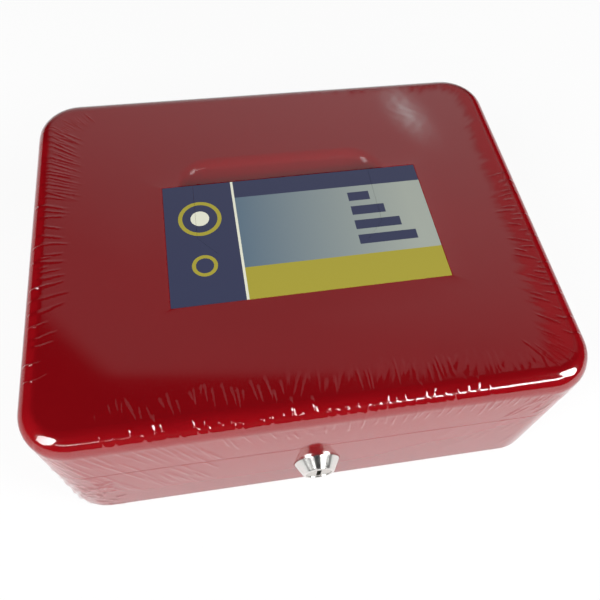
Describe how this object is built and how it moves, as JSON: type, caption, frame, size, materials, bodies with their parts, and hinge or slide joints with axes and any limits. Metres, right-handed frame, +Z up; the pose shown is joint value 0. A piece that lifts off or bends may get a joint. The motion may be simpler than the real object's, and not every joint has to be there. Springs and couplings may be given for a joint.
{
  "type": "cash box",
  "caption": "Rectangular pressed-steel cash box with a hinged lid, a sunk carrying handle, a cam lock in front and a lift-out coin tray.",
  "frame": {"origin": "middle of the flat underside of the base", "axes": "+Z up, +X to the right along the width, -Y towards the front with the lock"},
  "size_m": [0.25, 0.2105, 0.0903],
  "materials": {
    "red_paint": "gloss red enamel",
    "zinc_steel": "zinc-plated sheet steel",
    "rivet_steel": "bright steel",
    "lock_nickel": "polished nickel plate",
    "plug_nickel": "satin nickel plate",
    "brass": "plain brass",
    "handle_chrome": "polished chrome plate",
    "tray_plastic": "fine-grained black moulding",
    "key_nickel": "nickel-plated brass",
    "card_print": "printed card under gloss varnish"
  },
  "bodies": {
    "base": {"base_shell": "red_paint", "tray_ledge_left": "zinc_steel", "tray_ledge_right": "zinc_steel", "base_hinge_leaf_left": "zinc_steel", "base_hinge_leaf_right": "zinc_steel", "base_hinge_rivets": "rivet_steel", "hinge_pin_left": "rivet_steel", "hinge_pin_right": "rivet_steel", "lock_barrel": "lock_nickel", "lock_washer": "zinc_steel", "lock_nut": "zinc_steel"},
    "lid": {"lid_shell": "red_paint", "lid_hinge_leaf_left": "zinc_steel", "lid_hinge_leaf_right": "zinc_steel", "lid_hinge_rivets": "rivet_steel", "strike_bracket": "zinc_steel", "handle_clip_left": "handle_chrome", "handle_clip_right": "handle_chrome", "handle_clip_rivets": "rivet_steel", "card_frame": "card_print", "card_flap": "card_print"},
    "handle": {"handle_bail": "handle_chrome"},
    "lock": {"lock_plug": "plug_nickel", "lock_wafers": "brass", "lock_cam": "zinc_steel", "cam_washer": "zinc_steel", "cam_screw": "rivet_steel"},
    "tray": {"coin_tray": "tray_plastic", "key_first": "key_nickel", "key_second": "key_nickel"}
  },
  "joints": [
    {"name": "lid_hinge", "type": "hinge", "parent": "base", "child": "lid", "pos_m": [0, 0.101, 0.05425], "axis": [-1, 0, 0], "range_deg": [0, 105]},
    {"name": "handle_pivot", "type": "hinge", "parent": "lid", "child": "handle", "pos_m": [0, 0.00257, 0.08058], "axis": [1, 0, 0], "range_deg": [0, 90], "deforming": ["card_flap"]},
    {"name": "lock_turn", "type": "hinge", "parent": "base", "child": "lock", "pos_m": [0, -0.1, 0.0315], "axis": [0, 1, 0], "range_deg": [0, 90]},
    {"name": "tray_lift", "type": "slide", "parent": "base", "child": "tray", "axis": [0, 0, 1], "range_m": [0, 0.018]}
  ]
}
